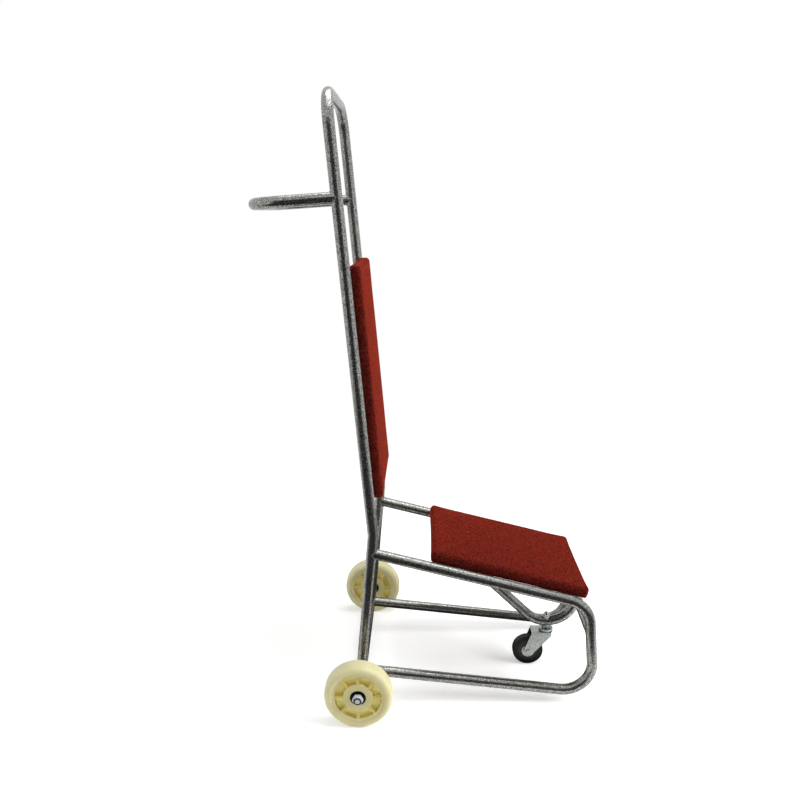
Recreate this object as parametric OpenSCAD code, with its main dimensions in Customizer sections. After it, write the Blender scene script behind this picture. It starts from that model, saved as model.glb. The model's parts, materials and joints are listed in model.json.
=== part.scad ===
// Stacking chair trolley: a welded tube frame with a padded back rest and seat rest,
// two plain rear wheels on a through axle and one swivel castor under the front.
// Millimetres, +X forward, +Z up, the floor at Z = 0, the origin under the middle of the trolley.

/* [Frame] */
// Distance between the centre lines of the left and right tubes
frame_w = 310; // [280:5:360]
// Overall height of the trolley
frame_h = 1345; // [1250:5:1450]
// Outside diameter of the frame tube
tube_od = 24; // [22:0.5:26]
// Wall of the frame tube
tube_wall = 1.5; // [1:0.1:2]
// Centre-line radius of the bends in the back frame, handle and side loops
bend_r = 65; // [55:1:70]
// Height of the kink between leg and upright
kink_z = 410; // [400:5:450]
// Rearward lean of the uprights above the kink, in degrees
upright_lean = 5.2; // [4:0.1:7]
// Forward rake of the legs from the axle up to the kink, in degrees
leg_rake = 5; // [4:0.1:6]

/* [Handle] */
// Height at which the handle meets the uprights
handle_z = 1131; // [1080:1:1180]
// Length of the handle from the uprights to its rear bar, between centre lines
handle_reach = 177; // [150:1:220]
// Fall of the handle towards the rear, in degrees
handle_drop = 4; // [0:0.5:8]

/* [Side loops] */
// Height at which the upper rail meets the leg
rail_z = 368; // [350:1:375]
// Fall of the upper rail towards the front, in degrees
rail_slope = 13.7; // [12:0.1:15]
// Distance from the axle forward to the lower front corner of the loop
loop_front_x = 537; // [520:1:570]
// Height of the lower front corner of the loop, on its centre lines
loop_front_z = 24; // [20:1:35]
// Lean of the front post, its foot forward, in degrees
post_lean = 5.6; // [4:0.1:7]
// Height of the front crossbar
front_bar_z = 180; // [165:1:190]
// Distance along the upper rail from the leg to the rear crossbar under the seat
rear_bar_s = 190; // [183:1:198]
// Outside diameter of the rear crossbar
rear_bar_od = 20; // [18:0.5:22]

/* [Pads] */
// Width of both pads
pad_w = 286; // [270:1:288]
// Thickness of a pad at its edge
pad_t = 26; // [22:0.5:30]
// Height of the crown in the middle of a pad
pad_crown = 4; // [2:0.5:8]
// Radius of a pad's corners in plan
pad_corner_r = 9; // [6:1:16]
// How far the sides of a pad draw in between its corners
pad_draw = 1.5; // [0.5:0.25:3]
// Length of the back pad
back_pad_l = 509; // [460:1:520]
// Distance along the upright from the kink to the lower edge of the back pad
back_pad_start = 80; // [70:1:110]
// Length of the seat pad
seat_pad_l = 368; // [340:1:375]
// Distance along the upper rail from the leg to the rear edge of the seat pad
seat_pad_start = 132; // [125:1:150]
// Thickness of the plywood board in a pad
board_t = 9; // [6:0.5:12]
// Width of the fabric border round the board
board_border = 7; // [5:1:12]
// Width of the flat steel straps that carry the pads
strap_w = 30; // [25:1:40]
// Thickness of the flat steel straps
strap_t = 3; // [2:0.5:4]
// Distance of each strap from the near end of its pad
strap_inset = 95; // [90:1:110]
// Distance of the pad bolts from the centre plane
pad_bolt_y = 95; // [70:1:110]
// Thread diameter of the pad bolts
pad_bolt_d = 6; // [5:1:6]

/* [Rear wheels] */
// Diameter of the rear wheels
wheel_d = 150; // [140:1:160]
// Width of the rear wheels at the rim
wheel_w = 40; // [36:1:46]
// Width of the rear wheels at the hub and the pockets
hub_w = 34; // [32:1:36]
// Distance between the middle planes of the rear wheels
wheel_track = 490; // [470:5:520]
// Radius of the tread's shoulders
wheel_shoulder_r = 10; // [7:0.5:11]
// Outer radius of the ring of pockets in the wheel
pocket_outer_r = 52; // [48:0.5:56]
// Radius of the hub boss inside the ring of pockets
hub_boss_r = 33; // [30:0.5:36]
// Thickness of the ribs between the pockets
rib_t = 6; // [4:0.5:8]
// Number of pockets on each face
pocket_count = 8; // [6:2:10]
// Depth of the pockets
pocket_depth = 10; // [8:0.5:12]
// Diameter of the axle rod
axle_d = 15; // [14:0.5:16]
// Thread diameter at the ends of the axle rod
axle_thread_d = 14; // [12:1:14]
// Outside diameter of the wheel bearings
bearing_od = 35; // [34:0.5:38]
// Width of the wheel bearings
bearing_w = 11; // [10:0.5:12]
// Diameter of the balls in the wheel bearings
bearing_ball_d = 6; // [5.5:0.1:6.2]

/* [Castor] */
// Distance from the axle forward to the swivel axis
stem_x = 448; // [440:1:450]
// Height of the support tube's centre line over the castor
support_z = 117; // [112:1:122]
// Centre-line radius of the bend in the support tube
support_bend_r = 72; // [60:1:72]
// Diameter of the castor wheel
castor_d = 75; // [70:1:80]
// Width of the castor wheel
castor_w = 25; // [22:1:28]
// Trail of the castor wheel behind the swivel axis
castor_trail = 43; // [38:1:46]
// Diameter of the castor's threaded stem
stem_d = 10; // [8:1:12]
// Thickness of the pressed fork
fork_t = 2.5; // [2:0.25:3]
// Radius of the swivel race
race_r = 17; // [15:0.5:19]
// Diameter of the swivel balls
swivel_ball_d = 4.4; // [4:0.1:5]
// Number of swivel balls
swivel_ball_count = 14; // [10:1:15]
// Diameter of the castor's axle rivet
castor_axle_d = 8; // [6:0.5:9]

/* [Hidden] */
$fn = 64;

steel_grey = [0.42, 0.42, 0.41];
zinc = [0.78, 0.79, 0.80];
bearing_steel = [0.70, 0.71, 0.73];
nylon = [0.90, 0.87, 0.70];
fabric_red = [0.52, 0.13, 0.10];
plywood = [0.76, 0.62, 0.43];
black = [0.08, 0.08, 0.08];

// Clearances: a running fit, a hand fit, and cloth round a board
run_gap = 0.05;
fit_gap = 0.1;
cloth_gap = 0.3;
// Gap at a tube's coped end, which the weld closes
weld_gap = 0.2;
// A bend is this much fatter than the straights, on its radius, and they run this far into it
bend_swell = 0.05;
bend_lap = 1;
// Length by which a cutting shape passes the face that it cuts
past = 1;

tube_r = tube_od / 2;
bore_r = tube_r - tube_wall;
half_w = frame_w / 2;
axle_z = wheel_d / 2;
axle_r = axle_d / 2;
castor_z = castor_d / 2;

// Side view of the back frame: the axle is at X = 0 until the whole is centred
function leg_x(z) = (z - axle_z) * tan(leg_rake);
kink_x = leg_x(kink_z);
function upright_x(z) = kink_x - (z - kink_z) * tan(upright_lean);
top_z = frame_h - tube_r;
rail_x = leg_x(rail_z);

// Vectors along the tubes
function unit(v) = v / norm(v);
rail_dir = [cos(rail_slope), 0, -sin(rail_slope)];
rail_up = [sin(rail_slope), 0, cos(rail_slope)];
post_dir = [-sin(post_lean), 0, cos(post_lean)];
handle_dir = [-cos(handle_drop), 0, -sin(handle_drop)];

// Corners of the side loop, on its centre lines
axle_point = [0, 0, axle_z];
rail_point = [rail_x, 0, rail_z];
loop_low = [loop_front_x, 0, loop_front_z];
post_q = tan(post_lean);
rail_q = tan(rail_slope);
rail_start_z = rail_z + rail_x * rail_q;
loop_high_x = (loop_front_x - post_q * (rail_start_z - loop_front_z)) / (1 - rail_q * post_q);
loop_high = [loop_high_x, 0, rail_z - (loop_high_x - rail_x) * rail_q];
low_rail_dir = unit(loop_low - axle_point);

// Height of the pads' undersides above the plane through the tubes' centre lines
strap_top = tube_r - 7;

// Crossbars on the side loops, the rear one just clear of the seat pad over it
front_bar = [loop_front_x - (front_bar_z - loop_front_z) * post_q, 0, front_bar_z];
rear_bar_r = rear_bar_od / 2;
under_pad_gap = 1;
rear_bar_drop = rear_bar_r + under_pad_gap - strap_top;
rear_bar_y = half_w - 0.8 * tube_r;
rear_bar = rail_point + rear_bar_s * rail_dir - rear_bar_drop * rail_up;

// Support tube: two arms tangent to the bend over the castor
bend_mid = [stem_x, 0, support_z + support_bend_r];
function slope_of(v) = atan2(v.z, v.x);
rear_arm_fall = asin(support_bend_r / norm(bend_mid - rear_bar)) - slope_of(bend_mid - rear_bar);
front_arm_rise = asin(support_bend_r / norm(front_bar - bend_mid)) + slope_of(front_bar - bend_mid);
support_half_turn = (rear_arm_fall + front_arm_rise) / 2;
support_skew = (front_arm_rise - rear_arm_fall) / 2;
support_reach = support_bend_r / cos(support_half_turn);
support_corner = bend_mid + support_reach * [sin(support_skew), 0, -cos(support_skew)];

// Tube paths
function at_y(p, y) = [p.x, y, p.z];
kink = [kink_x, 0, kink_z];
arch = [upright_x(top_z), 0, top_z];
handle_root = [upright_x(handle_z), 0, handle_z];
handle_end = handle_root + handle_reach * handle_dir;
back_path = concat(
    [for (p = [axle_point, kink, arch]) at_y(p, -half_w)],
    [for (p = [arch, kink, axle_point]) at_y(p, half_w)]
);
handle_path = [
    at_y(handle_root, -half_w), at_y(handle_end, -half_w),
    at_y(handle_end, half_w), at_y(handle_root, half_w)
];
function loop_path(y) = [for (p = [rail_point, loop_high, loop_low, axle_point]) at_y(p, y)];
support_path = [rear_bar, support_corner, front_bar];

// Middle of the trolley's length, from the handle's rear bar to the loops' front bends
rear_end = handle_end.x - tube_r;
low_turn = acos(low_rail_dir * post_dir);
low_bend_start = loop_low - bend_r * tan(low_turn / 2) * low_rail_dir;
low_bend_mid = low_bend_start + bend_r * unit(post_dir - (low_rail_dir * post_dir) * low_rail_dir);
front_end = low_bend_mid.x + bend_r + tube_r;
mid_x = (rear_end + front_end) / 2;

// Rear wheels and axle, outwards along Y
wheel_y = wheel_track / 2;
wheel_in_y = wheel_y - wheel_w / 2;
hub_in_y = wheel_y - hub_w / 2;
hub_out_y = wheel_y + hub_w / 2;
bush_proud = 4;
bush_l = 34;
axle_tube_y = wheel_in_y - bush_proud;
bush_nose_r = axle_r + 2;
inner_ring_r = axle_r + 2.5;
bearing_r = bearing_od / 2;
bearing_pitch_r = (axle_r + bearing_r) / 2;
outer_ring_bore_r = 2 * bearing_pitch_r - inner_ring_r;
bearing_ball_r = bearing_ball_d / 2;
bearing_ball_count = 7;
seal_t = 0.8;
seal_recess = 0.5;
seal_r = outer_ring_bore_r + 1.3;
seal_y = bearing_w / 2 - seal_recess - seal_t;
hub_bore_r = bearing_r - 3;
axle_washer_t = 2;
axle_washer_r = outer_ring_bore_r - seal_recess;
axle_nut_af = 1.5 * axle_thread_d;
axle_nut_t = 0.55 * axle_thread_d;
nut_collar_t = 0.15 * axle_thread_d;
nut_collar_r = 0.65 * axle_thread_d;
thread_proud = 1;
thread_r = axle_thread_d / 2;
axle_end_y = hub_out_y + axle_washer_t + axle_nut_t + nut_collar_t + thread_proud;

// Fasteners and edges of the pads
bolt_r = pad_bolt_d / 2;
bolt_head_af = 1.6 * pad_bolt_d;
bolt_head_t = 0.65 * pad_bolt_d;
tee_barrel_r = bolt_r + 1.2;
tee_flange_r = 3 * bolt_r;
tee_flange_t = 1.2;
edge_round = 4;
hem_in = 1;
hem_up = 1.5;
corner_steps = 4;
side_steps = 8;
crown_steps = [0.12, 0.28, 0.5, 0.75];

// Castor stack, downwards from the socket in the support tube
socket_r = stem_d / 2 + 4.5;
socket_proud = 1;
socket_low_z = support_z - tube_r - socket_proud;
socket_high_z = support_z + tube_r + socket_proud;
collar_r = stem_d / 2 + 5;
collar_t = 5;
race_t = 2.5;
race_z = socket_low_z - collar_t - race_t;
fork_z = race_z - swivel_ball_d - 2 * run_gap;
swivel_pitch_r = race_r - swivel_ball_d;
stem_head_r = stem_d / 2 + 4;
stem_head_t = 3.5;
castor_washer_t = 1.2;
castor_washer_r = socket_r;
dome_nut_af = 1.45 * stem_d;
dome_nut_t = 0.3 * stem_d;
dome_r = 0.7 * stem_d;
castor_x = stem_x - castor_trail;
fork_gap = 1.5;
fork_in_y = castor_w / 2 + fork_gap;
fork_out_y = fork_in_y + fork_t;
fork_end_r = 12;
fork_back = castor_trail - 6;
fork_front = 12;
fork_front_drop = 9;
fork_back_drop = 6;
castor_axle_r = castor_axle_d / 2;
castor_bush_r = castor_axle_r + 2;
rivet_head_r = castor_axle_r + 2.5;
rivet_head_t = 2;
core_r = castor_d / 2 - 13;
core_w = castor_w - 2;
tyre_shoulder_r = 6;
hub_disc_r = 15.5;
hub_disc_t = 0.8;

// Placing helpers
module centred() {
    translate([-mid_x, 0, 0]) children();
}

// Puts the child's X axis along ex and its Z axis along ez
module aligned(origin, ex, ez) {
    ey = cross(ez, ex);
    multmatrix([
        [ex.x, ey.x, ez.x, origin.x],
        [ex.y, ey.y, ez.y, origin.y],
        [ex.z, ey.z, ez.z, origin.z]
    ]) children();
}

// Local X runs down the upper rail, local Z stands square on it
module on_rail() {
    translate(rail_point) rotate([0, rail_slope, 0]) children();
}

// Local X runs up the upright, local Z stands square on its front
module on_upright() {
    translate(kink) rotate([0, -90 - upright_lean, 0]) mirror([0, 0, 1]) children();
}

// A rod lying along Y from y0 to y1
module y_rod(y0, y1, r) {
    translate([0, y1, 0]) rotate([90, 0, 0]) cylinder(r = r, h = y1 - y0);
}

module y_ring(y0, y1, r, bore) {
    difference() {
        y_rod(y0, y1, r);
        y_rod(y0 - past, y1 + past, bore);
    }
}

module both_sides() {
    children();
    mirror([0, 1, 0]) children();
}

module on_side(side) {
    if (side > 0) children();
    else mirror([0, 1, 0]) children();
}

// Bent tubes
module straight(p, q, r) {
    d = unit(q - p);
    across = abs(d.y) < 0.5 ? [0, 1, 0] : [0, 0, 1];
    aligned(p, unit(cross(across, d)), d) cylinder(r = r, h = norm(q - p));
}

module bend(corner, d_in, d_out, turn_r, r) {
    turn = acos(d_in * d_out);
    inward = unit(d_out - (d_in * d_out) * d_in);
    middle = corner - turn_r * tan(turn / 2) * d_in + turn_r * inward;
    aligned(middle, -inward, cross(-inward, d_in))
        rotate_extrude(angle = turn) translate([turn_r, 0]) circle(r = r);
}

module rod_path(points, turn_r, r) {
    last = len(points) - 1;
    d = [for (i = [0 : last - 1]) unit(points[i + 1] - points[i])];
    trim = [
        for (i = [0 : last])
            i == 0 || i == last ? 0 : turn_r * tan(acos(d[i - 1] * d[i]) / 2) - bend_lap
    ];
    for (i = [0 : last - 1])
        straight(points[i] + trim[i] * d[i], points[i + 1] - trim[i + 1] * d[i], r);
    for (i = [1 : last - 1])
        bend(points[i], d[i - 1], d[i], turn_r, r + bend_swell);
}

// Both ends of the bore run on past the ends of the tube
function lengthened(points) = let (last = len(points) - 1) [
    for (i = [0 : last])
        i == 0 ? points[0] - past * unit(points[1] - points[0])
        : i == last ? points[last] + past * unit(points[last] - points[last - 1])
        : points[i]
];

module bent_tube(points, turn_r) {
    difference() {
        rod_path(points, turn_r, tube_r);
        rod_path(lengthened(points), turn_r, bore_r);
    }
}

// Cutters along the members, to cope the tubes that are welded to them
cope_r = tube_r + weld_gap;

module cope_pair(p, q) {
    both_sides() straight(at_y(p, half_w), at_y(q, half_w), cope_r);
}

module cope_across(p, reach_y, r = tube_r) {
    translate(p) y_rod(-reach_y, reach_y, r + weld_gap);
}

module crossbar(p, reach_y, r = tube_r) {
    translate(p) y_ring(-reach_y, reach_y, r, r - tube_wall);
}

// Frame
module back_frame_tube() {
    color(steel_grey) centred() difference() {
        bent_tube(back_path, bend_r);
        cope_across(axle_point, axle_tube_y);
    }
}

module handle_tube() {
    color(steel_grey) centred() difference() {
        bent_tube(handle_path, bend_r);
        cope_pair(kink, arch);
    }
}

module side_loop(side) {
    color(steel_grey) centred() difference() {
        bent_tube(loop_path(side * half_w), bend_r);
        cope_pair(axle_point, kink);
        cope_across(axle_point, axle_tube_y);
    }
}

module left_side_loop() {
    side_loop(1);
}

module right_side_loop() {
    side_loop(-1);
}

module axle_cross_tube() {
    color(steel_grey) centred() crossbar(axle_point, axle_tube_y);
}

module front_crossbar() {
    color(steel_grey) centred() difference() {
        crossbar(front_bar, half_w);
        cope_pair(loop_low, loop_high);
    }
}

module rear_crossbar() {
    color(steel_grey) centred() difference() {
        crossbar(rear_bar, rear_bar_y, rear_bar_r);
        cope_pair(rail_point, loop_high);
    }
}

module castor_support_tube() {
    color(steel_grey) centred() difference() {
        bent_tube(support_path, support_bend_r);
        cope_across(rear_bar, half_w, rear_bar_r);
        cope_across(front_bar, half_w);
        translate([stem_x, 0, socket_low_z])
            cylinder(r = socket_r + weld_gap, h = socket_high_z - socket_low_z);
    }
}

module castor_socket() {
    color(steel_grey) centred() translate([stem_x, 0, socket_low_z]) difference() {
        cylinder(r = socket_r, h = socket_high_z - socket_low_z);
        translate([0, 0, -past])
            cylinder(r = stem_d / 2 + run_gap, h = socket_high_z - socket_low_z + 2 * past);
    }
}

// Pads: each lies on two straps, its length along local X
function strap_places(l) = [strap_inset, l - strap_inset];

module at_bolts(start, l) {
    for (x = strap_places(l), y = [-pad_bolt_y, pad_bolt_y])
        translate([start + x, y, strap_top]) children();
}

module straps(start, l) {
    difference() {
        for (x = strap_places(l))
            translate([start + x - strap_w / 2, -half_w, strap_top - strap_t])
                cube([strap_w, frame_w, strap_t]);
        for (y = [-half_w, half_w])
            translate([0, y, 0]) rotate([0, 90, 0]) cylinder(r = cope_r, h = start + l);
        at_bolts(start, l)
            translate([0, 0, -strap_t - past]) cylinder(r = bolt_r + fit_gap, h = strap_t + 2 * past);
    }
}

module board(start, l) {
    difference() {
        translate([start + board_border, -pad_w / 2 + board_border, strap_top])
            cube([l - 2 * board_border, pad_w - 2 * board_border, board_t]);
        at_bolts(start, l) {
            translate([0, 0, -past]) cylinder(r = tee_barrel_r, h = board_t + 2 * past);
            translate([0, 0, board_t - tee_flange_t])
                cylinder(r = tee_flange_r, h = tee_flange_t + past);
        }
    }
}

module tee_nut() {
    difference() {
        union() {
            cylinder(r = tee_barrel_r, h = board_t);
            translate([0, 0, board_t - tee_flange_t]) cylinder(r = tee_flange_r, h = tee_flange_t);
        }
        translate([0, 0, -past]) cylinder(r = bolt_r, h = board_t + 2 * past);
    }
}

module pad_bolt() {
    translate([0, 0, -strap_t]) cylinder(r = bolt_r, h = strap_t + board_t - tee_flange_t);
    translate([0, 0, -strap_t - bolt_head_t])
        cylinder(r = bolt_head_af / 2 / cos(30), h = bolt_head_t, $fn = 6);
}

// Outline of a pad, inset all round: rounded corners, and sides that bow inwards
function pad_ring(l, w, inset, z) = let (
    r = max(pad_corner_r - inset, 1),
    cx = l / 2 - inset - r,
    cy = w / 2 - inset - r,
    middles = [[cx, cy], [-cx, cy], [-cx, -cy], [cx, -cy]]
) [
    for (q = [0 : 3]) let (
        c = middles[q],
        n = middles[(q + 1) % 4],
        out = [cos(90 * q + 90), sin(90 * q + 90)]
    ) each concat(
        [for (i = [0 : corner_steps]) let (a = 90 * (q + i / corner_steps))
            [c.x + r * cos(a), c.y + r * sin(a), z]],
        [for (j = [1 : side_steps - 1]) let (
            t = j / side_steps,
            p = (1 - t) * c + t * n + (r - pad_draw * sin(180 * t)) * out
        ) [p.x, p.y, z]]
    )
];

// Height of the top at a given inset: a round edge, then a flat crown
function pad_height(w, inset) =
    inset < edge_round
    ? pad_t - edge_round + sqrt(edge_round ^ 2 - (edge_round - inset) ^ 2)
    : pad_t + pad_crown * (1 - (1 - (inset - edge_round) / (w / 2 - edge_round)) ^ 2);

module pad_form(l, w) {
    edge_insets = [for (i = [0 : 3]) edge_round * (1 - cos(30 * i))];
    top_insets = [for (f = crown_steps) edge_round + f * (w / 2 - edge_round)];
    rings = concat(
        [pad_ring(l, w, hem_in, 0), pad_ring(l, w, 0, hem_up)],
        [for (i = concat(edge_insets, top_insets)) pad_ring(l, w, i, pad_height(w, i))]
    );
    count = len(rings[0]);
    top = len(rings) - 1;
    points = concat([for (ring = rings) each ring], [[0, 0, 0], [0, 0, pad_t + pad_crown]]);
    low_mid = len(points) - 2;
    high_mid = len(points) - 1;
    faces = concat(
        [for (i = [0 : count - 1]) [i, (i + 1) % count, low_mid]],
        [for (k = [0 : top - 1], i = [0 : count - 1]) let (j = (i + 1) % count)
            each [[count * k + i, count * (k + 1) + i, count * (k + 1) + j],
                  [count * k + i, count * (k + 1) + j, count * k + j]]],
        [for (i = [0 : count - 1]) [count * top + (i + 1) % count, count * top + i, high_mid]]
    );
    polyhedron(points, faces);
}

module pad(start, l) {
    pocket = board_border - cloth_gap;
    difference() {
        translate([start + l / 2, 0, strap_top]) pad_form(l, pad_w);
        translate([start + pocket, -pad_w / 2 + pocket, strap_top - past])
            cube([l - 2 * pocket, pad_w - 2 * pocket, board_t + cloth_gap + past]);
    }
}

module back_straps() {
    color(steel_grey) centred() on_upright() straps(back_pad_start, back_pad_l);
}

module seat_straps() {
    color(steel_grey) centred() on_rail() straps(seat_pad_start, seat_pad_l);
}

module back_board() {
    color(plywood) centred() on_upright() board(back_pad_start, back_pad_l);
}

module seat_board() {
    color(plywood) centred() on_rail() board(seat_pad_start, seat_pad_l);
}

module back_pad() {
    color(fabric_red) centred() on_upright() pad(back_pad_start, back_pad_l);
}

module seat_pad() {
    color(fabric_red) centred() on_rail() pad(seat_pad_start, seat_pad_l);
}

module back_tee_nuts() {
    color(zinc) centred() on_upright() at_bolts(back_pad_start, back_pad_l) tee_nut();
}

module seat_tee_nuts() {
    color(zinc) centred() on_rail() at_bolts(seat_pad_start, seat_pad_l) tee_nut();
}

module back_bolts() {
    color(zinc) centred() on_upright() at_bolts(back_pad_start, back_pad_l) pad_bolt();
}

module seat_bolts() {
    color(zinc) centred() on_rail() at_bolts(seat_pad_start, seat_pad_l) pad_bolt();
}

// Axle and rear wheels
module axle_rod() {
    color(zinc) centred() translate(axle_point) {
        y_rod(-hub_out_y, hub_out_y, axle_r);
        both_sides() y_rod(hub_out_y, axle_end_y, thread_r);
    }
}

module axle_end_bushes() {
    color(bearing_steel) centred() translate(axle_point) both_sides() difference() {
        union() {
            y_rod(axle_tube_y - bush_l, axle_tube_y, bore_r);
            y_rod(axle_tube_y, hub_in_y, bush_nose_r);
        }
        y_rod(axle_tube_y - bush_l - past, hub_in_y + past, axle_r + run_gap);
    }
}

module axle_washers() {
    color(zinc) centred() translate(axle_point)
        both_sides() y_ring(hub_out_y, hub_out_y + axle_washer_t, axle_washer_r, thread_r);
}

module axle_lock_nuts() {
    nut_y = hub_out_y + axle_washer_t;
    color(zinc) centred() translate(axle_point) both_sides() difference() {
        union() {
            translate([0, nut_y, 0]) rotate([-90, 0, 0])
                cylinder(r = axle_nut_af / 2 / cos(30), h = axle_nut_t, $fn = 6);
            y_rod(nut_y + axle_nut_t, nut_y + axle_nut_t + nut_collar_t, nut_collar_r);
        }
        y_rod(nut_y - past, axle_end_y, thread_r);
    }
}

module hub_sleeve(side) {
    color(bearing_steel) centred() translate(axle_point) on_side(side)
        y_ring(hub_in_y + bearing_w, hub_out_y - bearing_w, inner_ring_r, axle_r + run_gap);
}

module left_hub_sleeve() {
    hub_sleeve(1);
}

module right_hub_sleeve() {
    hub_sleeve(-1);
}

// Middle planes of the two bearings in a wheel
bearing_ys = [hub_in_y + bearing_w / 2, hub_out_y - bearing_w / 2];

module at_bearings(side) {
    centred() translate(axle_point) on_side(side)
        for (y = bearing_ys) translate([0, y, 0]) children();
}

module ball_groove() {
    rotate([90, 0, 0]) rotate_extrude()
        translate([bearing_pitch_r, 0]) circle(r = bearing_ball_r + run_gap);
}

module bearing_inner_rings(side) {
    color(bearing_steel) at_bearings(side) difference() {
        y_ring(-bearing_w / 2, bearing_w / 2, inner_ring_r, axle_r + run_gap);
        ball_groove();
    }
}

module left_bearing_inner_rings() {
    bearing_inner_rings(1);
}

module right_bearing_inner_rings() {
    bearing_inner_rings(-1);
}

module bearing_outer_rings(side) {
    color(bearing_steel) at_bearings(side) difference() {
        y_ring(-bearing_w / 2, bearing_w / 2, bearing_r, outer_ring_bore_r);
        ball_groove();
        both_sides() y_rod(seal_y, bearing_w / 2 + past, seal_r);
    }
}

module left_bearing_outer_rings() {
    bearing_outer_rings(1);
}

module right_bearing_outer_rings() {
    bearing_outer_rings(-1);
}

module bearing_seals(side) {
    color(black) at_bearings(side) both_sides()
        y_ring(seal_y, seal_y + seal_t, seal_r, inner_ring_r + fit_gap);
}

module left_bearing_seals() {
    bearing_seals(1);
}

module right_bearing_seals() {
    bearing_seals(-1);
}

module bearing_balls(side) {
    color(zinc) at_bearings(side)
        for (i = [0 : bearing_ball_count - 1])
            rotate([0, 360 * i / bearing_ball_count, 0])
                translate([bearing_pitch_r, 0, 0]) sphere(r = bearing_ball_r);
}

module left_bearing_balls() {
    bearing_balls(1);
}

module right_bearing_balls() {
    bearing_balls(-1);
}

// Section of a tyre or wheel from radius r0 to r1: round shoulders, and flat faces face_w apart inside them
module rim_section(r0, r1, w, face_w, shoulder) {
    translate([r0, -face_w / 2]) square([r1 - shoulder - r0, face_w]);
    translate([r0, -w / 2 + shoulder]) square([r1 - r0, w - 2 * shoulder]);
    for (y = [-1, 1])
        translate([r1 - shoulder, y * (w / 2 - shoulder)]) circle(r = shoulder);
}

module pockets() {
    y_in = hub_w / 2 - pocket_depth;
    difference() {
        y_ring(y_in, hub_w / 2 + past, pocket_outer_r, hub_boss_r);
        for (i = [0 : pocket_count / 2 - 1])
            rotate([0, 360 * i / pocket_count, 0])
                translate([-pocket_outer_r - past, y_in - past, -rib_t / 2])
                    cube([2 * (pocket_outer_r + past), pocket_depth + 3 * past, rib_t]);
    }
}

module wheel(side) {
    color(nylon) centred() translate(axle_point) on_side(side) translate([0, wheel_y, 0]) difference() {
        rotate([90, 0, 0]) rotate_extrude()
            rim_section(hub_bore_r, wheel_d / 2, wheel_w, hub_w, wheel_shoulder_r);
        both_sides() y_rod(hub_w / 2 - bearing_w, hub_w / 2 + past, bearing_r);
        both_sides() pockets();
    }
}

module left_wheel() {
    wheel(1);
}

module right_wheel() {
    wheel(-1);
}

// Castor
module on_stem(z) {
    centred() translate([stem_x, 0, z]) children();
}

module castor_stem() {
    stem_low_z = fork_z - fork_t - run_gap;
    color(zinc) {
        on_stem(stem_low_z)
            cylinder(r = stem_d / 2, h = socket_high_z + castor_washer_t + dome_nut_t - stem_low_z);
        on_stem(race_z + race_t) cylinder(r = collar_r, h = collar_t);
        on_stem(stem_low_z - stem_head_t) cylinder(r = stem_head_r, h = stem_head_t);
    }
}

module castor_washer() {
    color(zinc) on_stem(socket_high_z) difference() {
        cylinder(r = castor_washer_r, h = castor_washer_t);
        translate([0, 0, -past]) cylinder(r = stem_d / 2 + run_gap, h = castor_washer_t + 2 * past);
    }
}

module castor_dome_nut() {
    color(zinc) on_stem(socket_high_z + castor_washer_t) difference() {
        union() {
            cylinder(r = dome_nut_af / 2 / cos(30), h = dome_nut_t, $fn = 6);
            translate([0, 0, dome_nut_t]) intersection() {
                sphere(r = dome_r);
                cylinder(r = dome_r + past, h = dome_r + past);
            }
        }
        translate([0, 0, -past]) cylinder(r = stem_d / 2, h = dome_nut_t + past);
    }
}

module castor_top_race() {
    skirt_t = 1.5;
    skirt_drop = swivel_ball_d / 2;
    color(zinc) on_stem(race_z) difference() {
        translate([0, 0, -skirt_drop]) cylinder(r = race_r, h = race_t + skirt_drop);
        translate([0, 0, -skirt_drop - past]) cylinder(r = race_r - skirt_t, h = skirt_drop + past);
        cylinder(r = stem_d / 2, h = 3 * race_t, center = true);
    }
}

module castor_swivel_balls() {
    color(bearing_steel) on_stem(race_z - run_gap - swivel_ball_d / 2)
        for (i = [0 : swivel_ball_count - 1])
            rotate([0, 0, 360 * i / swivel_ball_count]) translate([swivel_pitch_r, 0, 0])
                sphere(r = swivel_ball_d / 2);
}

// Point where a line from p touches the circle round the castor axle, on the side given by turn
function touch(p, turn) = let (
    d = p - [castor_x, castor_z],
    a = atan2(d.y, d.x) + turn * acos(fork_end_r / norm(d))
) [castor_x + fork_end_r * cos(a), castor_z + fork_end_r * sin(a)];

// Side plate of the fork, in side view
module fork_plate() {
    back_low = [stem_x - fork_back, fork_z - fork_back_drop];
    front_low = [stem_x + fork_front, fork_z - fork_front_drop];
    polygon([
        [castor_x, castor_z], touch(front_low, -1), front_low,
        [stem_x + fork_front, fork_z], [stem_x - fork_back, fork_z],
        back_low, touch(back_low, 1)
    ]);
    translate([castor_x, castor_z]) circle(r = fork_end_r);
}

module castor_fork() {
    color(zinc) centred() difference() {
        union() {
            both_sides() translate([0, fork_out_y, 0]) rotate([90, 0, 0])
                linear_extrude(height = fork_t) fork_plate();
            translate([stem_x - fork_back, -fork_out_y, fork_z - fork_t])
                cube([fork_back + fork_front, 2 * fork_out_y, fork_t]);
            translate([stem_x, 0, fork_z - fork_t]) cylinder(r = race_r, h = fork_t);
        }
        translate([stem_x, 0, fork_z - fork_t - past])
            cylinder(r = stem_d / 2 + run_gap, h = fork_t + 2 * past);
        translate([castor_x, 0, castor_z])
            y_rod(-fork_out_y - past, fork_out_y + past, castor_axle_r);
    }
}

module at_castor_axle() {
    centred() translate([castor_x, 0, castor_z]) children();
}

module castor_axle_rivet() {
    color(zinc) at_castor_axle() {
        y_rod(-fork_out_y, fork_out_y, castor_axle_r);
        both_sides() y_rod(fork_out_y, fork_out_y + rivet_head_t, rivet_head_r);
    }
}

module castor_bush() {
    color(bearing_steel) at_castor_axle()
        y_ring(-fork_in_y, fork_in_y, castor_bush_r, castor_axle_r + run_gap);
}

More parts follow.
